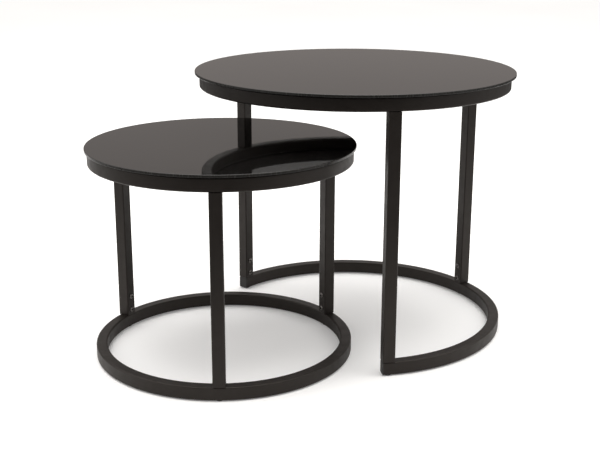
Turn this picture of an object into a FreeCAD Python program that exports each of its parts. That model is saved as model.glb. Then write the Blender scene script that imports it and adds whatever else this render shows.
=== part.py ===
import FreeCAD, Part
import math
import os
from FreeCAD import Vector

# A pair of round side tables that nest. Each table is a glass disc on a steel
# ring, three bolted legs and a base ring on glides. The large table's base ring
# is open on one side, so that the small table slides in under the large top.
# Millimetres and degrees. +X runs from the small table to the large one, +Z is
# up, and the origin is on the floor at the middle of the pair's length.

# The large top, and the room that the small table has inside the large one:
# beside its glass to each side leg, and above its glass to the large top ring
LARGE_GLASS_DIAMETER = 600.0
LARGE_HEIGHT = 500.0
NEST_SIDE_CLEARANCE = 6.68
NEST_HEADROOM = 80.0
LARGE_GLASS_OVERHANG = 8.5
SMALL_GLASS_OVERHANG = 4.5
GLASS_THICKNESS = 5.0
GLASS_ARRIS = 0.6

# How the pair stands: the distance between the tables' axes, and how far each
# table is turned about its own
CENTRE_SPACING = 288.0
LARGE_TURN = -2.0
SMALL_TURN = -1.2

# Pads between a top ring and its glass
PAD_RADIUS = 5.0
PAD_HEIGHT = 1.0
PAD_COUNT = 6

# Rectangular tube of all four rings
RING_TUBE_WIDTH = 20.0
RING_TUBE_HEIGHT = 24.0
RING_TUBE_CORNER = 2.8
TUBE_WALL = 1.5

# Legs: depth is along the table's radius, width is across it
LEG_DEPTH = 22.0
LEG_WIDTH = 22.0
LEG_CORNER = 2.0
LEG_SIDES = ("middle", "left", "right")
LARGE_SIDE_LEG_ANGLE = 110.0
SMALL_SIDE_LEG_ANGLE = 120.0

# Spigots, welded to a base ring inside the foot of each leg
SPIGOT_ABOVE_BOLTS = 13.0
SPIGOT_WALL = 3.0
SPIGOT_CORNER = 1.6
SPIGOT_GAP = 0.3

# Button-head bolts through a leg's inner face into its spigot
BOLT_RADIUS = 3.0
BOLT_TIP = 5.2
BOLT_HEAD_RADIUS = 5.6
BOLT_HEAD_HEIGHT = 3.2
BOLT_HEAD_RIM = 0.8
BOLT_SOCKET_RADIUS = 2.3
BOLT_SOCKET_DEPTH = 1.9
LOWER_BOLT_RISE = 10.0
BOLT_PITCH = 27.0
BOLT_HOLE_CLEARANCE = 0.3
THREAD_CLEARANCE = 0.05

# Socket screws from inside a top ring down into each leg's nut block
SCREW_HEAD_RADIUS = 5.0
SCREW_HEAD_HEIGHT = 4.0
SCREW_TIP_GAP = 2.5
SCREW_ACCESS_CLEARANCE = 1.3
NUT_BLOCK_HEIGHT = 16.0
NUT_BLOCK_CORNER_RELIEF = 0.6

# Glides under the base rings
GLIDE_RADIUS = 7.0
GLIDE_HEIGHT = 2.0
GLIDE_EDGE = 0.6
GLIDE_STEM_RADIUS = 3.9
GLIDE_STEM_LENGTH = 8.0
GLIDE_HOLE_CLEARANCE = 0.1

# Caps in the two ends of the open base ring, flush with the side legs' faces
END_CAP_FLANGE = 1.8
END_CAP_EDGE = 1.5
END_CAP_PLUG_CLEARANCE = 0.5
END_CAP_STEM_CLEARANCE = 1.0

UP = Vector(0, 0, 1)
OUTWARD = Vector(1, 0, 0)
SIDEWAYS = Vector(0, 1, 0)
ORIGIN = Vector(0, 0, 0)

BASE_RING_BOTTOM = GLIDE_HEIGHT
BASE_RING_TOP = BASE_RING_BOTTOM + RING_TUBE_HEIGHT
BOLT_HEIGHTS = (BASE_RING_TOP + LOWER_BOLT_RISE, BASE_RING_TOP + LOWER_BOLT_RISE + BOLT_PITCH)
SPIGOT_TOP = BOLT_HEIGHTS[-1] + SPIGOT_ABOVE_BOLTS
BOLT_LENGTH = TUBE_WALL + SPIGOT_GAP + SPIGOT_WALL + BOLT_TIP
SCREW_LENGTH = TUBE_WALL + NUT_BLOCK_HEIGHT - SCREW_TIP_GAP
END_CAP_RUN = LEG_WIDTH / 2 - END_CAP_FLANGE
END_CAP_PLUG_LENGTH = END_CAP_RUN - GLIDE_STEM_RADIUS - END_CAP_STEM_CLEARANCE


class Table:
    """The sizes of one table, worked out from its glass and its height."""

    def __init__(self, name, glass_radius, overhang, height, side_leg_angle, turn):
        self.name = name
        self.turn = turn
        self.glass_radius = glass_radius
        self.ring_radius = glass_radius - overhang - RING_TUBE_WIDTH / 2
        self.glass_bottom = height - GLASS_THICKNESS
        self.top_ring_top = self.glass_bottom - PAD_HEIGHT
        self.top_ring_bottom = self.top_ring_top - RING_TUBE_HEIGHT
        self.leg_angles = (0.0, side_leg_angle, -side_leg_angle)
        self.leg_inner_face = self.ring_radius - LEG_DEPTH / 2

    def half_way_in(self):
        """From the line that the smaller table slides along to the nearer side leg."""
        angle = math.radians(self.leg_angles[1] + abs(self.turn))
        return self.leg_inner_face * math.sin(angle) + LEG_WIDTH / 2 * math.cos(angle)


def rounded_rectangle(width, height, corner):
    """A closed wire round the origin in the XY plane, with round corners."""
    x = width / 2
    y = height / 2
    inset = corner * (1 - math.sqrt(0.5))
    edges = []
    for sx, sy in ((1, 1), (-1, 1), (-1, -1), (1, -1)):
        on_side = Vector(sx * x, sy * (y - corner), 0)
        on_end = Vector(sx * (x - corner), sy * y, 0)
        middle = Vector(sx * (x - inset), sy * (y - inset), 0)
        edges.append(Part.Arc(on_side, middle, on_end).toShape())
    for sy in (1, -1):
        end_points = [Vector(sx * (x - corner), sy * y, 0) for sx in (1, -1)]
        edges.append(Part.LineSegment(*end_points).toShape())
    for sx in (1, -1):
        side_points = [Vector(sx * x, sy * (y - corner), 0) for sy in (1, -1)]
        edges.append(Part.LineSegment(*side_points).toShape())
    return Part.Wire(Part.__sortEdges__(edges))


def upright_section(width, height, corner, radius, z_middle):
    """A rounded rectangle as a face in the XZ plane, round (radius, z_middle)."""
    face = Part.Face(rounded_rectangle(width, height, corner))
    face.rotate(ORIGIN, OUTWARD, 90)
    face.translate(Vector(radius, 0, z_middle))
    return face


def box_bar(depth, width, corner, radius, bottom, top):
    """An upright bar with round corners, standing at (radius, 0)."""
    face = Part.Face(rounded_rectangle(depth, width, corner))
    face.translate(Vector(radius, 0, bottom))
    return face.extrude(Vector(0, 0, top - bottom))


def turned(shape, angle):
    """A copy turned about the table's own axis."""
    copy = shape.copy()
    copy.rotate(ORIGIN, UP, angle)
    return copy


def ring_tube(radius, bottom, start_angle, sweep):
    """Hollow rectangular tube bent to a ring, or to part of one."""
    z_middle = bottom + RING_TUBE_HEIGHT / 2
    outer = upright_section(RING_TUBE_WIDTH, RING_TUBE_HEIGHT, RING_TUBE_CORNER, radius, z_middle)
    bore_width = RING_TUBE_WIDTH - 2 * TUBE_WALL
    bore_height = RING_TUBE_HEIGHT - 2 * TUBE_WALL
    bore = upright_section(bore_width, bore_height, RING_TUBE_CORNER - TUBE_WALL, radius, z_middle)
    tube = outer.revolve(ORIGIN, UP, sweep).cut(bore.revolve(ORIGIN, UP, sweep))
    return turned(tube, start_angle)


def at_each_leg(table, shape):
    """One copy of a shape, made at angle 0, for every leg of the table."""
    return [turned(shape, angle) for angle in table.leg_angles]


def leg_end_angle(table):
    """How far past a side leg's middle its open base ring runs."""
    return math.degrees(math.asin(END_CAP_RUN / table.ring_radius))


def glass_top(table):
    disc = Part.makeCylinder(table.glass_radius, GLASS_THICKNESS, Vector(0, 0, table.glass_bottom))
    rims = [edge for edge in disc.Edges if edge.Closed and len(edge.Vertexes) == 1]
    return disc.makeChamfer(GLASS_ARRIS, rims)


def glass_pads(table):
    seat = Vector(table.ring_radius, 0, table.top_ring_top)
    pad = Part.makeCylinder(PAD_RADIUS, PAD_HEIGHT, seat)
    step = 360.0 / PAD_COUNT
    return Part.makeCompound([turned(pad, step * (i + 0.5)) for i in range(PAD_COUNT)])


def top_ring(table):
    """Full ring, with a screw hole and a wider access hole above it at each leg."""
    ring = ring_tube(table.ring_radius, table.top_ring_bottom, 0, 360)
    foot = Vector(table.ring_radius, 0, table.top_ring_bottom - TUBE_WALL)
    screw_hole = Part.makeCylinder(BOLT_RADIUS + BOLT_HOLE_CLEARANCE, 3 * TUBE_WALL, foot)
    lid = Vector(table.ring_radius, 0, table.top_ring_top - 2 * TUBE_WALL)
    access_radius = SCREW_HEAD_RADIUS + SCREW_ACCESS_CLEARANCE
    access_hole = Part.makeCylinder(access_radius, 3 * TUBE_WALL, lid)
    return ring.cut(at_each_leg(table, screw_hole) + at_each_leg(table, access_hole))


def top_screws(table):
    seat = table.top_ring_bottom + TUBE_WALL
    head = Part.makeCylinder(SCREW_HEAD_RADIUS, SCREW_HEAD_HEIGHT, Vector(table.ring_radius, 0, seat))
    shank = Part.makeCylinder(BOLT_RADIUS, SCREW_LENGTH, Vector(table.ring_radius, 0, seat - SCREW_LENGTH))
    socket_floor = Vector(table.ring_radius, 0, seat + SCREW_HEAD_HEIGHT - BOLT_SOCKET_DEPTH)
    socket = hexagon_prism(socket_floor, BOLT_SOCKET_DEPTH, UP)
    return Part.makeCompound(at_each_leg(table, head.fuse(shank).cut(socket).removeSplitter()))


def hexagon_prism(base, length, direction):
    """A hexagonal bar, for the key socket of a screw head."""
    hexagon = Part.makePolygon(
        [
            Vector(
                BOLT_SOCKET_RADIUS * math.cos(math.radians(60 * i)),
                BOLT_SOCKET_RADIUS * math.sin(math.radians(60 * i)),
                0,
            )
            for i in range(7)
        ]
    )
    prism = Part.Face(hexagon).extrude(Vector(0, 0, length))
    prism.Placement = FreeCAD.Placement(base, FreeCAD.Rotation(UP, direction))
    return prism


def inner_face_holes(table, radius, depth):
    """Bars that cut the two bolt holes through the inner wall of a leg or spigot."""
    start = table.leg_inner_face - BOLT_HOLE_CLEARANCE
    return [Part.makeCylinder(radius, depth, Vector(start, 0, z), OUTWARD) for z in BOLT_HEIGHTS]


def leg(table):
    radius = table.ring_radius
    outer = box_bar(LEG_DEPTH, LEG_WIDTH, LEG_CORNER, radius, BASE_RING_TOP, table.top_ring_bottom)
    bore_depth = LEG_DEPTH - 2 * TUBE_WALL
    bore_width = LEG_WIDTH - 2 * TUBE_WALL
    bore_corner = LEG_CORNER - TUBE_WALL
    bore = box_bar(bore_depth, bore_width, bore_corner, radius, BASE_RING_TOP, table.top_ring_bottom)
    holes = inner_face_holes(table, BOLT_RADIUS + BOLT_HOLE_CLEARANCE, LEG_DEPTH / 2)
    return outer.cut([bore] + holes)


def spigot(table):
    """Threaded stub tube that a leg's foot slips over."""
    depth = LEG_DEPTH - 2 * (TUBE_WALL + SPIGOT_GAP)
    width = LEG_WIDTH - 2 * (TUBE_WALL + SPIGOT_GAP)
    outer = box_bar(depth, width, SPIGOT_CORNER, table.ring_radius, BASE_RING_TOP, SPIGOT_TOP)
    bore_depth = depth - 2 * SPIGOT_WALL
    bore_width = width - 2 * SPIGOT_WALL
    bore = box_bar(bore_depth, bore_width, SPIGOT_CORNER, table.ring_radius, BASE_RING_TOP, SPIGOT_TOP)
    holes = inner_face_holes(table, BOLT_RADIUS + THREAD_CLEARANCE, LEG_DEPTH / 2)
    return outer.cut([bore] + holes)


def nut_block(table):
    """Threaded block welded inside the top of a leg."""
    depth = LEG_DEPTH - 2 * TUBE_WALL
    width = LEG_WIDTH - 2 * TUBE_WALL
    corner = LEG_CORNER - TUBE_WALL + NUT_BLOCK_CORNER_RELIEF
    bottom = table.top_ring_bottom - NUT_BLOCK_HEIGHT
    block = box_bar(depth, width, corner, table.ring_radius, bottom, table.top_ring_bottom)
    foot = Vector(table.ring_radius, 0, bottom)
    return block.cut(Part.makeCylinder(BOLT_RADIUS + THREAD_CLEARANCE, NUT_BLOCK_HEIGHT, foot))


def leg_bolt(face_radius, z):
    """One button-head bolt, its head on the leg's inner face."""
    rim = Vector(BOLT_HEAD_RADIUS, 0, BOLT_HEAD_RIM)
    crown = Vector(0, 0, BOLT_HEAD_HEIGHT)
    dome_rise = BOLT_HEAD_HEIGHT - BOLT_HEAD_RIM
    dome_radius = (BOLT_HEAD_RADIUS**2 + dome_rise**2) / (2 * dome_rise)
    shoulder_x = BOLT_HEAD_RADIUS / 2
    shoulder_drop = dome_radius - math.sqrt(dome_radius**2 - shoulder_x**2)
    shoulder = Vector(shoulder_x, 0, BOLT_HEAD_HEIGHT - shoulder_drop)
    outline = [
        Part.LineSegment(ORIGIN, Vector(BOLT_HEAD_RADIUS, 0, 0)).toShape(),
        Part.LineSegment(Vector(BOLT_HEAD_RADIUS, 0, 0), rim).toShape(),
        Part.Arc(rim, shoulder, crown).toShape(),
        Part.LineSegment(crown, ORIGIN).toShape(),
    ]
    head = Part.Face(Part.Wire(outline)).revolve(ORIGIN, UP, 360)
    shank = Part.makeCylinder(BOLT_RADIUS, BOLT_LENGTH, Vector(0, 0, -BOLT_LENGTH))
    socket_floor = Vector(0, 0, BOLT_HEAD_HEIGHT - BOLT_SOCKET_DEPTH)
    socket = hexagon_prism(socket_floor, BOLT_SOCKET_DEPTH, UP)
    bolt = head.fuse(shank).cut(socket).removeSplitter()
    bolt.Placement = FreeCAD.Placement(Vector(face_radius, 0, z), FreeCAD.Rotation(UP, -OUTWARD))
    return bolt


def leg_bolts(table):
    bolts = []
    for z in BOLT_HEIGHTS:
        bolts += at_each_leg(table, leg_bolt(table.leg_inner_face, z))
    return Part.makeCompound(bolts)


def glide(table):
    foot = Vector(table.ring_radius, 0, 0)
    disc = Part.makeCylinder(GLIDE_RADIUS, GLIDE_HEIGHT, foot)
    rim = [edge for edge in disc.Edges if edge.Closed and edge.BoundBox.ZMax < GLIDE_EDGE]
    disc = disc.makeFillet(GLIDE_EDGE, rim)
    stem = Part.makeCylinder(GLIDE_STEM_RADIUS, GLIDE_HEIGHT + GLIDE_STEM_LENGTH, foot)
    return disc.fuse(stem).removeSplitter()


def drilled_for_glides(table, ring):
    foot = Vector(table.ring_radius, 0, BASE_RING_BOTTOM - TUBE_WALL)
    hole = Part.makeCylinder(GLIDE_STEM_RADIUS + GLIDE_HOLE_CLEARANCE, 3 * TUBE_WALL, foot)
    return ring.cut(at_each_leg(table, hole))


def closed_base_ring(table):
    return drilled_for_glides(table, ring_tube(table.ring_radius, BASE_RING_BOTTOM, 0, 360))


def open_base_ring(table):
    """Base ring that stops under its two side legs, short of their faces by an end cap's flange."""
    half_sweep = table.leg_angles[1] + leg_end_angle(table)
    tube = ring_tube(table.ring_radius, BASE_RING_BOTTOM, -half_sweep, 2 * half_sweep)
    return drilled_for_glides(table, tube)


def end_cap(table):
    """Plastic cap in the left end of the open base ring."""
    z_middle = BASE_RING_BOTTOM + RING_TUBE_HEIGHT / 2
    rim = upright_section(RING_TUBE_WIDTH, RING_TUBE_HEIGHT, RING_TUBE_CORNER, table.ring_radius, z_middle)
    flange = rim.extrude(SIDEWAYS * END_CAP_FLANGE)
    front = [edge for edge in flange.Edges if edge.BoundBox.YMin > END_CAP_FLANGE / 2]
    flange = flange.makeFillet(END_CAP_EDGE, front)
    inset = 2 * (TUBE_WALL + END_CAP_PLUG_CLEARANCE)
    plug_width = RING_TUBE_WIDTH - inset
    plug_height = RING_TUBE_HEIGHT - inset
    plug_corner = RING_TUBE_CORNER - TUBE_WALL
    plug = upright_section(plug_width, plug_height, plug_corner, table.ring_radius, z_middle)
    cap = flange.fuse(plug.extrude(SIDEWAYS * -END_CAP_PLUG_LENGTH)).removeSplitter()
    return turned(cap, table.leg_angles[1] + leg_end_angle(table))


def mirrored(shape):
    return shape.mirror(ORIGIN, SIDEWAYS)


def table_nodes(table, base_ring):
    """Every piece of one table by node name, round the table's own axis."""
    name = table.name
    nodes = {
        name + "_glass_top": glass_top(table),
        name + "_glass_pads": glass_pads(table),
        name + "_top_ring": top_ring(table),
        name + "_top_screws": top_screws(table),
        name + "_leg_bolts": leg_bolts(table),
        name + "_base_ring": base_ring,
    }
    pieces = {"leg": leg, "nut_block": nut_block, "spigot": spigot, "glide": glide}
    for piece, make in pieces.items():
        for side, copy in zip(LEG_SIDES, at_each_leg(table, make(table))):
            nodes["_".join((name, piece, side))] = copy
    return nodes


def large_table():
    return Table(
        "large",
        LARGE_GLASS_DIAMETER / 2,
        LARGE_GLASS_OVERHANG,
        LARGE_HEIGHT,
        LARGE_SIDE_LEG_ANGLE,
        LARGE_TURN,
    )


def small_table(large):
    """The table that fits in between the large one's side legs and under its top ring."""
    return Table(
        "small",
        large.half_way_in() - NEST_SIDE_CLEARANCE,
        SMALL_GLASS_OVERHANG,
        large.top_ring_bottom - NEST_HEADROOM,
        SMALL_SIDE_LEG_ANGLE,
        SMALL_TURN,
    )


def main():
    large = large_table()
    small = small_table(large)
    large_nodes = table_nodes(large, open_base_ring(large))
    large_nodes["large_end_cap_left"] = end_cap(large)
    large_nodes["large_end_cap_right"] = mirrored(end_cap(large))
    small_nodes = table_nodes(small, closed_base_ring(small))

    large_centre_x = (small.glass_radius + CENTRE_SPACING - large.glass_radius) / 2
    small_centre_x = large_centre_x - CENTRE_SPACING
    os.makedirs("parts", exist_ok=True)
    tables = ((large, large_nodes, large_centre_x), (small, small_nodes, small_centre_x))
    for table, nodes, centre_x in tables:
        for name, shape in nodes.items():
            shape.rotate(ORIGIN, UP, table.turn)
            shape.translate(Vector(centre_x, 0, 0))
            shape.exportStep(os.path.join("parts", name + ".step"))
            print(name, len(shape.Solids), round(shape.Volume / 1000, 2), "cm3")


main()
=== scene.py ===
import math
import bpy
import bmesh
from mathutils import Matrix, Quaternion, Vector


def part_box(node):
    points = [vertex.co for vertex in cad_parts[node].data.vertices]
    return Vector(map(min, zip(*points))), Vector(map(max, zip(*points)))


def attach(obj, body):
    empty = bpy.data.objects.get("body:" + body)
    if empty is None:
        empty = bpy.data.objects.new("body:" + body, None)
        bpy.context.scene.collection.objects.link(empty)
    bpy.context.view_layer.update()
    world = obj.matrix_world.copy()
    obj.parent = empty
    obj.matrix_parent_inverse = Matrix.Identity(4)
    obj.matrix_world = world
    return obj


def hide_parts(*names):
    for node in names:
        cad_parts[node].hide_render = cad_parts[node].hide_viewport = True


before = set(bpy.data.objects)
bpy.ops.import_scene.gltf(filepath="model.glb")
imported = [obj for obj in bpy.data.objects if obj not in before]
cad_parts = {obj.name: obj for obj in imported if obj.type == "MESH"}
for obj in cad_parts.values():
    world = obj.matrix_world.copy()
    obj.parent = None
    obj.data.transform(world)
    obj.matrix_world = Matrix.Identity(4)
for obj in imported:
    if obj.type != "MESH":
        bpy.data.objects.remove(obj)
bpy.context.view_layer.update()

# A pair of round nesting tables: black glass on black powder-coated steel tube.
# Everything is in metres, in the CAD frame. Sizes and places are read from the
# CAD nodes, and the values here are only the fine shapes that CAD leaves plain.
SIDES = ("middle", "left", "right")
TUBE_CORNER = 0.0028
LEG_CORNER = 0.0020
CUT_EDGE = 0.0005
CORNER_STEPS = 6
RING_SEGMENTS = 240
GLASS_SEGMENTS = 288
GLASS_EDGE_STEPS = 8
GLASS_ARRIS = 0.0009
FLAT_ENOUGH = 0.98
ROUND_SEGMENTS = 48
BOLT_SOCKET_RADIUS = 0.0023
BOLT_SOCKET_DEPTH = 0.0019
BOLT_SEAT_EDGE = 0.00015
BOLT_RIM_SHARE = 0.25
BOLT_CROWN_RATIO = 1.25
BOLT_DOME_STEPS = 8
BOLT_REACH = 0.02
SEAT_TOLERANCE = 0.00001
GLIDE_EDGE = 0.0009
GLIDE_TOP_EDGE = 0.0003
GLIDE_EDGE_STEPS = 5
CAP_EDGE = 0.0015
CAP_EDGE_STEPS = 6
CLOSED_SWEEP = 350.0

X_AXIS = Vector((1, 0, 0))
Y_AXIS = Vector((0, 1, 0))
Z_AXIS = Vector((0, 0, 1))

# Camera, at the height and distance of a person looking down on the tables
CAMERA_PLACE = (-1.0732, -1.6567, 0.7915)
CAMERA_HEADING_DEG = 32.75
CAMERA_PITCH_DEG = 16.39
CAMERA_ROLL_DEG = 0.13
CAMERA_LENS_MM = 64.89
CAMERA_SENSOR_MM = 36.0
CAMERA_SIGHT = 100

# The studio: which way its bright backdrop lies from the tables, the stretch of
# floor from under them towards it, outside which the floor's colour is painted
# dark to all but camera rays (painted shade), and how the room's light changes
# with the sine of the height that it comes from
FLOOR_SIZE = 60
BACKDROP_SIDE = (0.541, 0.841, 0.0)
# Painted shade: from this point, between these two distances, the floor's colour as every ray but
# the camera's sees it fades from pale to near black
PAINTED_SHADE_CENTRE = (0.49, 0.76, 0.0)
PAINTED_SHADE_START = 1.3
PAINTED_SHADE_END = 2.2
FLOOR_GLOW = 0.18
DARK_SIDE = 0.3
DARK_SIDE_END = -0.7
BRIGHT_SIDE_START = 0.5
ROOM_SEEN = (0.97, 0.965, 0.96, 1)
ROOM_BY_HEIGHT = (
    (0.000, (0.374, 0.346, 0.330)),
    (0.100, (0.346, 0.314, 0.298)),
    (0.450, (0.374, 0.346, 0.330)),
    (0.800, (1.600, 1.590, 1.570)),
)

# Softboxes: name, place, what it faces, width, height and watts
LAMP_COLOUR = (1.0, 0.985, 0.965)
SOFTBOXES = (
    ("overhead", (0.0, 0.0, 3.2), (0, 0, 0), 3.0, 3.0, 95),
    ("left", (-3.0, 0.8, 1.35), (0, 0, 0.3), 4.6, 2.6, 34),
    ("right", (2.2, -2.6, 1.35), (0, 0, 0.3), 4.6, 2.6, 34),
)


def node_vertices(name):
    return [v.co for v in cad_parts[name].data.vertices]


def table_axis(table):
    """X and Y of a table's upright axis, from its round glass."""
    low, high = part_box(table + "_glass_top")
    return Vector(((low.x + high.x) / 2, (low.y + high.y) / 2, 0))


def radial_span(node, axis):
    """Smallest and largest distance of a node from its table's axis."""
    distances = [math.hypot(v.x - axis.x, v.y - axis.y) for v in node_vertices(node)]
    return min(distances), max(distances)


# ---------------------------------------------------------------- mesh helpers


def outline(width, height, corner):
    """Points and outward normals of a rounded rectangle, in order round it."""
    points = []
    for quarter, (sx, sy) in enumerate(((1, 1), (-1, 1), (-1, -1), (1, -1))):
        for step in range(CORNER_STEPS + 1):
            turn = math.radians(90 * (quarter + step / CORNER_STEPS))
            normal = (math.cos(turn), math.sin(turn))
            x = sx * (width / 2 - corner) + corner * normal[0]
            y = sy * (height / 2 - corner) + corner * normal[1]
            points.append(((x, y), normal))
    return points


def loft(name, rows, closed):
    """A mesh piece from rows of (place, normal) points, each row a closed loop.

    The rows are joined in order, and round to the first if closed. Otherwise
    the first and the last row get a flat face.
    """
    mesh = bpy.data.meshes.new(name)
    count = len(rows[0])
    places = [place for row in rows for place, _ in row]
    faces = []
    pairs = len(rows) if closed else len(rows) - 1
    for r in range(pairs):
        a = r * count
        b = (r + 1) % len(rows) * count
        for i in range(count):
            j = (i + 1) % count
            faces.append((a + i, a + j, b + j, b + i))
    if not closed:
        faces.append(tuple(reversed(range(count))))
        faces.append(tuple(range((len(rows) - 1) * count, len(rows) * count)))
    mesh.from_pydata([tuple(p) for p in places], [], faces)
    return finish_mesh(name, mesh, [normal for row in rows for _, normal in row])


def finish_mesh(name, mesh, normals):
    """Makes an object of a mesh, with the given vertex normals on its round faces."""
    work = bmesh.new()
    work.from_mesh(mesh)
    bmesh.ops.recalc_face_normals(work, faces=work.faces)
    work.to_mesh(mesh)
    work.free()
    mesh.shade_smooth()
    corner_normals = []
    for polygon in mesh.polygons:
        for vertex in polygon.vertices:
            normal = Vector(normals[vertex]) if normals[vertex] is not None else polygon.normal
            if normal.dot(polygon.normal) < 0.5:
                normal = polygon.normal
            corner_normals.append(tuple(normal.normalized()))
    mesh.normals_split_custom_set(corner_normals)
    piece = bpy.data.objects.new(name, mesh)
    bpy.context.scene.collection.objects.link(piece)
    return piece


def ring_piece(name, axis, inner, outer, bottom, top, start, sweep, corner):
    """Rectangular tube bent round an axis: a closed ring, or an arc of one."""
    full = sweep > CLOSED_SWEEP
    steps = round(RING_SEGMENTS * sweep / 360)
    shape = outline(outer - inner, top - bottom, corner)
    middle = axis + Z_AXIS * ((bottom + top) / 2)
    rows = []
    for step in range(steps if full else steps + 1):
        turn = math.radians(start + sweep * step / steps)
        away = Vector((math.cos(turn), math.sin(turn), 0))
        row = []
        for (x, y), (nx, ny) in shape:
            place = middle + away * ((inner + outer) / 2 + x) + Z_AXIS * y
            row.append((place, away * nx + Z_AXIS * ny))
        rows.append(row)
    return loft(name, rows, full)


def bar_piece(name, centre, away, depth, width, bottom, top, corner):
    """Upright square tube with round corners and its two cut edges broken."""
    across = Vector((-away.y, away.x, 0))
    rows = []
    levels = ((bottom, CUT_EDGE), (bottom + CUT_EDGE, 0), (top - CUT_EDGE, 0), (top, CUT_EDGE))
    for z, inset in levels:
        row = []
        for (x, y), (nx, ny) in outline(depth - 2 * inset, width - 2 * inset, corner - inset):
            place = centre + away * x + across * y
            row.append((Vector((place.x, place.y, z)), away * nx + across * ny))
        rows.append(row)
    return loft(name, rows, False)


def lathe_rows(profile, origin, out, side, up, segments):
    """Rows round an axis from (radius, height, normal radius, normal height)."""
    rows = []
    for radius, height, nr, nh in profile:
        row = []
        for i in range(segments):
            turn = 2 * math.pi * i / segments
            away = out * math.cos(turn) + side * math.sin(turn)
            row.append((origin + away * radius + up * height, away * nr + up * nh))
        rows.append(row)
    return rows


def rounded_disc_profile(radius, bottom, top, low_edge, high_edge, steps):
    """Profile of a disc from its bottom face to its top face, with round rims."""
    profile = []
    rims = ((-90, low_edge, bottom + low_edge), (0, high_edge, top - high_edge))
    for start, edge, middle in rims:
        for step in range(steps + 1):
            turn = math.radians(start + 90 * step / steps)
            nr, nh = math.cos(turn), math.sin(turn)
            profile.append((radius - edge + edge * nr, middle + edge * nh, nr, nh))
    return profile


def joined(name, pieces):
    """One piece out of several, for the fasteners that share a node."""
    with bpy.context.temp_override(
        active_object=pieces[0], selected_editable_objects=pieces, selected_objects=pieces
    ):
        bpy.ops.object.join()
    pieces[0].name = name
    pieces[0].data.name = name
    return pieces[0]


# -------------------------------------------------------------------- materials


def set_stops(ramp, stops):
    """Gives a colour ramp node its (position, colour) stops."""
    elements = ramp.color_ramp.elements
    while len(elements) < len(stops):
        elements.new(0.5)
    for element, (position, colour) in zip(elements, stops):
        element.position = position
        element.color = (*colour, 1.0)


class Shader:
    """A Principled material being put together node by node."""

    def __init__(self, name):
        self.material = bpy.data.materials.new(name)
        self.material.use_nodes = True
        self.nodes = self.material.node_tree.nodes
        self.links = self.material.node_tree.links
        self.surface = self.nodes["Principled BSDF"]
        self.place = self.nodes.new("ShaderNodeTexCoord").outputs["Object"]

    def set(self, **values):
        for name, value in values.items():
            self.surface.inputs[name.replace("_", " ")].default_value = value

    def stretched(self, x, y, z):
        mapping = self.nodes.new("ShaderNodeMapping")
        mapping.inputs["Scale"].default_value = (x, y, z)
        self.links.new(self.place, mapping.inputs["Vector"])
        return mapping.outputs["Vector"]

    def noise(self, scale, detail=2.0, roughness=0.5, at=None):
        noise = self.nodes.new("ShaderNodeTexNoise")
        noise.inputs["Scale"].default_value = scale
        noise.inputs["Detail"].default_value = detail
        noise.inputs["Roughness"].default_value = roughness
        self.links.new(at or self.place, noise.inputs["Vector"])
        return noise.outputs["Fac"]

    def ramp(self, factor, stops):
        ramp = self.nodes.new("ShaderNodeValToRGB")
        set_stops(ramp, stops)
        self.links.new(factor, ramp.inputs["Fac"])
        return ramp.outputs["Color"]

    def between(self, factor, low, high, start=0.3, end=0.7):
        spread = self.nodes.new("ShaderNodeMapRange")
        spread.inputs["From Min"].default_value = start
        spread.inputs["From Max"].default_value = end
        spread.inputs["To Min"].default_value = low
        spread.inputs["To Max"].default_value = high
        self.links.new(factor, spread.inputs["Value"])
        return spread.outputs["Result"]

    def mixed(self, factor, low, high):
        """The colour low where the factor is 0 and high where it is 1; no low is black."""
        mix = self.nodes.new("ShaderNodeMix")
        mix.data_type = "RGBA"
        self.links.new(factor, mix.inputs["Factor"])
        mix.inputs["A"].default_value = (0, 0, 0, 1)
        if low is not None:
            self.links.new(low, mix.inputs["A"])
        self.links.new(high, mix.inputs["B"])
        return mix.outputs["Result"]

    def bump(self, height, strength, distance):
        bump = self.nodes.new("ShaderNodeBump")
        bump.inputs["Strength"].default_value = strength
        bump.inputs["Distance"].default_value = distance
        self.links.new(height, bump.inputs["Height"])
        previous = self.surface.inputs["Normal"]
        if previous.is_linked:
            self.links.new(previous.links[0].from_socket, bump.inputs["Normal"])
        self.links.new(bump.outputs["Normal"], previous)

    def link(self, name, socket):
        self.links.new(socket, self.surface.inputs[name])

    def tones(self, factor, dark, light, start=0.3):
        """Base colour that runs from dark to light along a factor."""
        self.link("Base Color", self.ramp(factor, [(start, dark), (0.7, light)]))


def powder_coat():
    """Satin black powder coat on steel: a fine orange peel, and patches that shine more."""
    shader = Shader("powder_coat_black")
    patches = shader.noise(9.0, 3.0)
    shader.tones(patches, (0.0066, 0.0048, 0.0038), (0.0098, 0.0074, 0.0060))
    shader.link("Roughness", shader.between(shader.noise(60.0, 3.0), 0.40, 0.50))
    shader.set(Specular_IOR_Level=0.38, Specular_Tint=(1.0, 0.93, 0.88, 1.0))
    shader.bump(shader.noise(700.0, 1.0), 0.22, 0.0003)
    shader.bump(shader.noise(2600.0, 1.0), 0.12, 0.0001)
    return shader.material


def black_glass():
    """Black tempered glass, mirror smooth, with the faint wipe marks of a clean top."""
    shader = Shader("glass_black")
    depth = shader.noise(3.0, 2.0)
    shader.tones(depth, (0.0042, 0.0038, 0.0036), (0.0062, 0.0056, 0.0052))
    wipes = shader.noise(6.0, 4.0, 0.6, shader.stretched(1.0, 3.2, 1.0))
    shader.link("Roughness", shader.between(wipes, 0.018, 0.045))
    shader.set(IOR=1.52, Specular_IOR_Level=0.5)
    return shader.material


def glass_back():
    """The glass's painted underside: an even black coat, glossy but duller than the glass."""
    shader = Shader("glass_back_paint")
    coat = shader.noise(40.0, 3.0)
    shader.tones(coat, (0.0050, 0.0046, 0.0043), (0.0080, 0.0074, 0.0070))
    shader.link("Roughness", shader.between(coat, 0.03, 0.05))
    shader.set(Specular_IOR_Level=0.10)
    return shader.material


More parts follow.
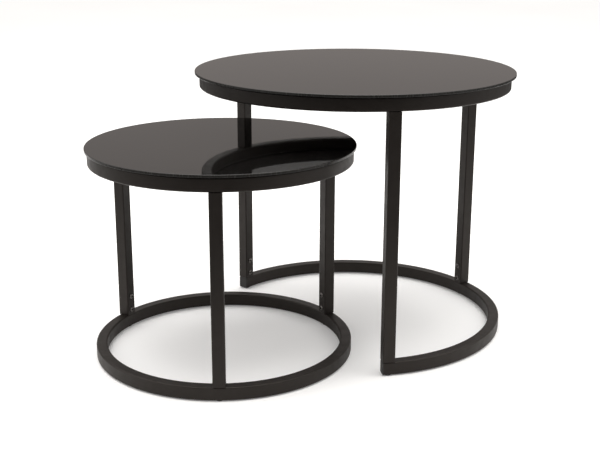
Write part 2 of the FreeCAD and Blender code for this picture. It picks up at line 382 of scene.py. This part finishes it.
def ground_edge():
    """The ground and polished rim of the glass, a little greyer and duller than its face."""
    shader = Shader("glass_ground_edge")
    grain = shader.noise(500.0, 2.0, 0.6, shader.stretched(1.0, 1.0, 0.2))
    shader.tones(grain, (0.014, 0.013, 0.012), (0.024, 0.023, 0.021))
    shader.link("Roughness", shader.between(grain, 0.18, 0.30))
    shader.set(IOR=1.52, Specular_IOR_Level=0.4)
    return shader.material


def black_steel():
    """Blackened bolts: dark shining metal with a faint bloom on it."""
    shader = Shader("bolt_black_oxide")
    bloom = shader.noise(900.0, 3.0, 0.6)
    shader.tones(bloom, (0.090, 0.085, 0.081), (0.170, 0.161, 0.153), 0.35)
    shader.link("Roughness", shader.between(bloom, 0.18, 0.28))
    shader.set(Metallic=0.9)
    shader.bump(shader.noise(3000.0, 1.0), 0.15, 0.0001)
    return shader.material


def black_plastic():
    """Moulded black polyethylene with a fine spark-eroded grain."""
    shader = Shader("plastic_black")
    tone = shader.noise(120.0, 2.0)
    shader.tones(tone, (0.010, 0.0095, 0.009), (0.017, 0.016, 0.015))
    shader.link("Roughness", shader.between(tone, 0.48, 0.60))
    shader.bump(shader.noise(3500.0, 1.0), 0.25, 0.0001)
    return shader.material


def zinc_steel():
    """Zinc-plated steel of the parts hidden inside the frame."""
    shader = Shader("zinc_steel")
    crystals = shader.noise(400.0, 3.0, 0.6)
    shader.tones(crystals, (0.42, 0.43, 0.45), (0.62, 0.63, 0.65))
    shader.link("Roughness", shader.between(crystals, 0.28, 0.42))
    shader.set(Metallic=1.0)
    return shader.material


def clear_silicone():
    """Milky silicone of the pads under the glass."""
    shader = Shader("silicone_clear")
    cloud = shader.noise(300.0, 2.0)
    shader.tones(cloud, (0.46, 0.46, 0.45), (0.60, 0.60, 0.58))
    shader.link("Roughness", shader.between(cloud, 0.30, 0.40))
    return shader.material


def studio_floor():
    """Plain pale floor as the camera sees it, glowing a little; to other rays its colour is painted
    shade, so it throws light back from near the tables only.
    """
    shader = Shader("studio_floor")
    tone = shader.noise(1.2, 2.0)
    pale = shader.ramp(tone, [(0.3, (0.86, 0.855, 0.85)), (0.7, (0.88, 0.875, 0.87))])
    reach = shader.nodes.new("ShaderNodeVectorMath")
    reach.operation = "DISTANCE"
    shader.links.new(shader.place, reach.inputs[0])
    reach.inputs[1].default_value = PAINTED_SHADE_CENTRE
    # Painted shade: for all but camera rays, the floor's colour runs from pale near the tables to
    # near black further off
    painted_shade_fade = shader.between(reach.outputs["Value"], 0.0, 1.0, PAINTED_SHADE_START, PAINTED_SHADE_END)
    bounce_painted_shade = shader.ramp(painted_shade_fade, [(0.0, (0.80, 0.79, 0.78)), (1.0, (0.07, 0.07, 0.07))])
    seen = shader.nodes.new("ShaderNodeLightPath").outputs["Is Camera Ray"]
    shader.link("Base Color", shader.mixed(seen, bounce_painted_shade, pale))
    shader.link("Emission Color", shader.mixed(seen, None, pale))
    shader.set(Roughness=0.9, Specular_IOR_Level=0.1, Emission_Strength=FLOOR_GLOW)
    return shader.material


MATERIALS = {
    "black_powder_coat": powder_coat(),
    "black_glass": black_glass(),
    "black_steel": black_steel(),
    "black_plastic": black_plastic(),
    "zinc_steel": zinc_steel(),
    "clear_silicone": clear_silicone(),
}
GLASS_EDGE_MATERIAL = ground_edge()
GLASS_BACK_MATERIAL = glass_back()


def place_piece(piece, body, slot, *nodes):
    """Gives a finished piece its material and its place in the frame."""
    piece.data.materials.clear()
    piece.data.materials.append(MATERIALS[slot])
    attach(piece, body)
    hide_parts(*nodes)


# ----------------------------------------------------------------------- pieces


def glass_piece(table, axis):
    """The glass disc, its rims ground round and polished and its underside painted."""
    node = table + "_glass_top"
    low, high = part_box(node)
    _, radius = radial_span(node, axis)
    profile = rounded_disc_profile(radius, low.z, high.z, GLASS_ARRIS, GLASS_ARRIS, GLASS_EDGE_STEPS)
    rows = lathe_rows(profile, axis, X_AXIS, Y_AXIS, Z_AXIS, GLASS_SEGMENTS)
    piece = loft(table + ".glass_top", rows, False)
    place_piece(piece, table + "_table", "black_glass", node)
    piece.data.materials.append(GLASS_EDGE_MATERIAL)
    piece.data.materials.append(GLASS_BACK_MATERIAL)
    for polygon in piece.data.polygons:
        if abs(polygon.normal.z) < FLAT_ENOUGH:
            polygon.material_index = 1
        elif polygon.normal.z < 0:
            polygon.material_index = 2


def ring_pieces(table, axis):
    """A table's top ring and base ring."""
    for part in ("top_ring", "base_ring"):
        node = f"{table}_{part}"
        low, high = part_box(node)
        inner, outer = radial_span(node, axis)
        start, sweep = ring_sweep(node, axis)
        name = f"{table}.{part}"
        piece = ring_piece(name, axis, inner, outer, low.z, high.z, start, sweep, TUBE_CORNER)
        place_piece(piece, table + "_table", "black_powder_coat", node)


def ring_sweep(node, axis):
    """Where a ring starts, in degrees from +X, and how far it runs: 360 if it is closed."""
    turns = [math.degrees(math.atan2(v.y - axis.y, v.x - axis.x)) for v in node_vertices(node)]
    start, sweep = min(turns), max(turns) - min(turns)
    return (0.0, 360.0) if sweep > CLOSED_SWEEP else (start, sweep)


def leg_frame(node, axis):
    """Centre line and outward direction of an upright piece, from its box."""
    low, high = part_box(node)
    centre = Vector(((low.x + high.x) / 2, (low.y + high.y) / 2, 0))
    away = (centre - axis).normalized()
    return centre, away


def leg_pieces(table, axis):
    """A table's three legs."""
    for side in SIDES:
        node = f"{table}_leg_{side}"
        low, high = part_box(node)
        centre, away = leg_frame(node, axis)
        across = Vector((-away.y, away.x, 0))
        vertices = node_vertices(node)
        depth = 2 * max(abs((v - centre).dot(away)) for v in vertices)
        width = 2 * max(abs((v - centre).dot(across)) for v in vertices)
        name = f"{table}.leg_{side}"
        piece = bar_piece(name, centre, away, depth, width, low.z, high.z, LEG_CORNER)
        place_piece(piece, table + "_table", "black_powder_coat", node)


def bolt_piece(name, seat, inward, radius, height):
    """Button-head bolt with a hexagon socket, its head standing on seat."""
    side = inward.cross(Z_AXIS)
    rim = BOLT_RIM_SHARE * height
    profile = [
        (radius - BOLT_SEAT_EDGE, 0, 0.7, -0.7),
        (radius, BOLT_SEAT_EDGE, 1, 0),
        (radius, rim, 1, 0),
    ]
    rise = height - rim
    dome = (radius**2 + rise**2) / (2 * rise)
    crown_radius = BOLT_SOCKET_RADIUS * BOLT_CROWN_RATIO
    for step in range(1, BOLT_DOME_STEPS + 1):
        r = radius + (crown_radius - radius) * step / BOLT_DOME_STEPS
        slope = r / dome
        level = height - dome + math.sqrt(dome**2 - r**2)
        profile.append((r, level, slope, math.sqrt(1 - slope**2)))
    rows = lathe_rows(profile, seat, Z_AXIS, side, inward, ROUND_SEGMENTS)
    mouth = profile[-1][1]
    for depth in (0.0, BOLT_SOCKET_DEPTH):
        row = []
        for i in range(ROUND_SEGMENTS):
            turn = 2 * math.pi * i / ROUND_SEGMENTS
            flat = turn % (math.pi / 3) - math.pi / 6
            r = BOLT_SOCKET_RADIUS * math.cos(math.pi / 6) / math.cos(flat)
            away = Z_AXIS * math.cos(turn) + side * math.sin(turn)
            row.append((seat + away * r + inward * (mouth - depth), None))
        rows.append(row)
    return loft(name, rows, False)


def bolt_pieces(table, axis):
    """Every leg's bolts: a head stands on the leg's inner face at each of the CAD bolts."""
    node = table + "_leg_bolts"
    seats = bolt_seats(table, node, axis)
    bolts = [bolt_piece(f"{table}.bolt_{count}", *seat) for count, seat in enumerate(seats)]
    piece = joined(table + ".leg_bolts", bolts)
    place_piece(piece, table + "_table", "black_steel", node)


def bolt_seats(table, node, axis):
    """Seat, inward direction, head radius and head height of each bolt of a node."""
    seats = []
    for side in SIDES:
        centre, away = leg_frame(f"{table}_leg_{side}", axis)
        leg_vertices = node_vertices(f"{table}_leg_{side}")
        face = min((v - axis).dot(away) for v in leg_vertices)
        near = [v for v in node_vertices(node) if (v - centre).to_2d().length < BOLT_REACH]
        heads = [v for v in near if (v - axis).dot(away) < face + SEAT_TOLERANCE]
        middle = (min(v.z for v in heads) + max(v.z for v in heads)) / 2
        height = face - min((v - axis).dot(away) for v in heads)
        lower = [v.z for v in heads if v.z < middle]
        upper = [v.z for v in heads if v.z > middle]
        for zs in (lower, upper):
            seat = axis + away * face + Z_AXIS * ((min(zs) + max(zs)) / 2)
            seats.append((seat, -away, (max(zs) - min(zs)) / 2, height))
    return seats


def glide_pieces(table):
    """A table's three glides, from the floor to the base ring."""
    ring_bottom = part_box(table + "_base_ring")[0].z
    for side in SIDES:
        node = f"{table}_glide_{side}"
        low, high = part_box(node)
        centre = Vector(((low.x + high.x) / 2, (low.y + high.y) / 2, 0))
        radius = (high.x - low.x) / 2
        edges = (GLIDE_EDGE, GLIDE_TOP_EDGE, GLIDE_EDGE_STEPS)
        profile = rounded_disc_profile(radius, low.z, ring_bottom, *edges)
        rows = lathe_rows(profile, centre, X_AXIS, Y_AXIS, Z_AXIS, ROUND_SEGMENTS)
        piece = loft(f"{table}.glide_{side}", rows, False)
        place_piece(piece, table + "_table", "black_plastic", node)


def end_cap_pieces(table, axis):
    """The caps that close an open base ring: a flange with a rounded rim against the tube's end."""
    ring = table + "_base_ring"
    low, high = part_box(ring)
    inner, outer = radial_span(ring, axis)
    start, sweep = ring_sweep(ring, axis)
    for side, sign, ring_end in (("left", 1, start + sweep), ("right", -1, start)):
        node = f"{table}_end_cap_{side}"
        cap_low, cap_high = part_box(node)
        lip = (cap_high.z - cap_low.z - (high.z - low.z)) / 2
        turn = math.radians(ring_end)
        away = Vector((math.cos(turn), math.sin(turn), 0))
        onward = Vector((-away.y, away.x, 0)) * sign
        flange = max((v - axis).dot(onward) for v in node_vertices(node))
        centre = axis + away * (inner + outer) / 2 + Z_AXIS * ((low.z + high.z) / 2)
        rows = []
        for height, inset, nh in cap_profile(flange):
            row = []
            width = outer - inner + 2 * (lip - inset)
            tall = high.z - low.z + 2 * (lip - inset)
            flat = math.sqrt(1 - nh**2)
            for (x, y), (nx, ny) in outline(width, tall, TUBE_CORNER + lip - inset):
                place = centre + away * x + Z_AXIS * y + onward * height
                row.append((place, (away * nx + Z_AXIS * ny) * flat + onward * nh))
            rows.append(row)
        piece = loft(f"{table}.end_cap_{side}", rows, False)
        place_piece(piece, table + "_table", "black_plastic", node)


def cap_profile(flange):
    """Height, inset and outward lean of each loop of an end cap's flange."""
    loops = [(0.0, 0.0, 0.0)]
    for step in range(CAP_EDGE_STEPS + 1):
        turn = math.radians(90 * step / CAP_EDGE_STEPS)
        height = flange - CAP_EDGE + CAP_EDGE * math.sin(turn)
        loops.append((height, CAP_EDGE * (1 - math.cos(turn)), math.sin(turn)))
    return loops


def hidden_nodes(table):
    """CAD nodes that stay as they are inside the frame, in their own materials."""
    kept = {f"{table}_glass_pads": "clear_silicone", f"{table}_top_screws": "zinc_steel"}
    for side in SIDES:
        kept[f"{table}_nut_block_{side}"] = "zinc_steel"
        kept[f"{table}_spigot_{side}"] = "black_powder_coat"
    for node, slot in kept.items():
        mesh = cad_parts[node].data
        mesh.materials.clear()
        mesh.materials.append(MATERIALS[slot])


for table in ("large", "small"):
    axis = table_axis(table)
    glass_piece(table, axis)
    ring_pieces(table, axis)
    leg_pieces(table, axis)
    bolt_pieces(table, axis)
    glide_pieces(table)
    hidden_nodes(table)
end_cap_pieces("large", table_axis("large"))


# ------------------------------------------------------------------------ stage


def make_floor():
    bpy.ops.mesh.primitive_plane_add(size=FLOOR_SIZE, location=(0, 0, 0))
    floor = bpy.context.object
    floor.name = "floor"
    floor.data.materials.append(studio_floor())


def make_world():
    """A studio room: bright overhead, grey on the backdrop's side, dark on the other.

    To the camera itself it is white.
    """
    world = bpy.data.worlds.new("studio")
    bpy.context.scene.world = world
    world.use_nodes = True
    nodes, links = world.node_tree.nodes, world.node_tree.links
    direction = nodes.new("ShaderNodeTexCoord").outputs["Generated"]
    split = nodes.new("ShaderNodeSeparateXYZ")
    links.new(direction, split.inputs["Vector"])
    height = nodes.new("ShaderNodeValToRGB")
    links.new(split.outputs["Z"], height.inputs["Fac"])
    set_stops(height, ROOM_BY_HEIGHT)
    towards = nodes.new("ShaderNodeVectorMath")
    towards.operation = "DOT_PRODUCT"
    links.new(direction, towards.inputs[0])
    towards.inputs[1].default_value = BACKDROP_SIDE
    side = nodes.new("ShaderNodeMapRange")
    side.inputs["From Min"].default_value = DARK_SIDE_END
    side.inputs["From Max"].default_value = BRIGHT_SIDE_START
    side.inputs["To Min"].default_value = DARK_SIDE
    links.new(towards.outputs["Value"], side.inputs["Value"])
    lit = nodes.new("ShaderNodeMath")
    lit.operation = "MAXIMUM"
    links.new(side.outputs["Result"], lit.inputs[0])
    links.new(split.outputs["Z"], lit.inputs[1])
    seen = nodes.new("ShaderNodeLightPath").outputs["Is Camera Ray"]
    strength = nodes.new("ShaderNodeMath")
    strength.operation = "MAXIMUM"
    links.new(lit.outputs["Value"], strength.inputs[0])
    links.new(seen, strength.inputs[1])
    shown = nodes.new("ShaderNodeMix")
    shown.data_type = "RGBA"
    links.new(seen, shown.inputs["Factor"])
    links.new(height.outputs["Color"], shown.inputs["A"])
    shown.inputs["B"].default_value = ROOM_SEEN
    links.new(shown.outputs["Result"], nodes["Background"].inputs["Color"])
    links.new(strength.outputs["Value"], nodes["Background"].inputs["Strength"])


def softbox(name, place, target, width, height, watts):
    lamp = bpy.data.lights.new(name, "AREA")
    lamp.shape = "RECTANGLE"
    lamp.size = width
    lamp.size_y = height
    lamp.energy = watts
    lamp.color = LAMP_COLOUR
    box = bpy.data.objects.new(name, lamp)
    box.location = place
    box.rotation_euler = (Vector(target) - Vector(place)).to_track_quat("-Z", "Y").to_euler()
    bpy.context.scene.collection.objects.link(box)


def make_camera():
    data = bpy.data.cameras.new("camera")
    data.lens = CAMERA_LENS_MM
    data.sensor_width = CAMERA_SENSOR_MM
    data.clip_end = CAMERA_SIGHT
    camera = bpy.data.objects.new("camera", data)
    heading = math.radians(CAMERA_HEADING_DEG)
    pitch = math.radians(CAMERA_PITCH_DEG)
    reach = math.cos(pitch)
    ahead = Vector((math.sin(heading) * reach, math.cos(heading) * reach, -math.sin(pitch)))
    level = ahead.to_track_quat("-Z", "Y")
    camera.location = CAMERA_PLACE
    camera.rotation_euler = (level @ Quaternion((0, 0, 1), math.radians(CAMERA_ROLL_DEG))).to_euler()
    bpy.context.scene.collection.objects.link(camera)
    bpy.context.scene.camera = camera


make_floor()
make_world()
for lamp_sizes in SOFTBOXES:
    softbox(*lamp_sizes)
make_camera()
bpy.context.scene.view_settings.view_transform = "Standard"
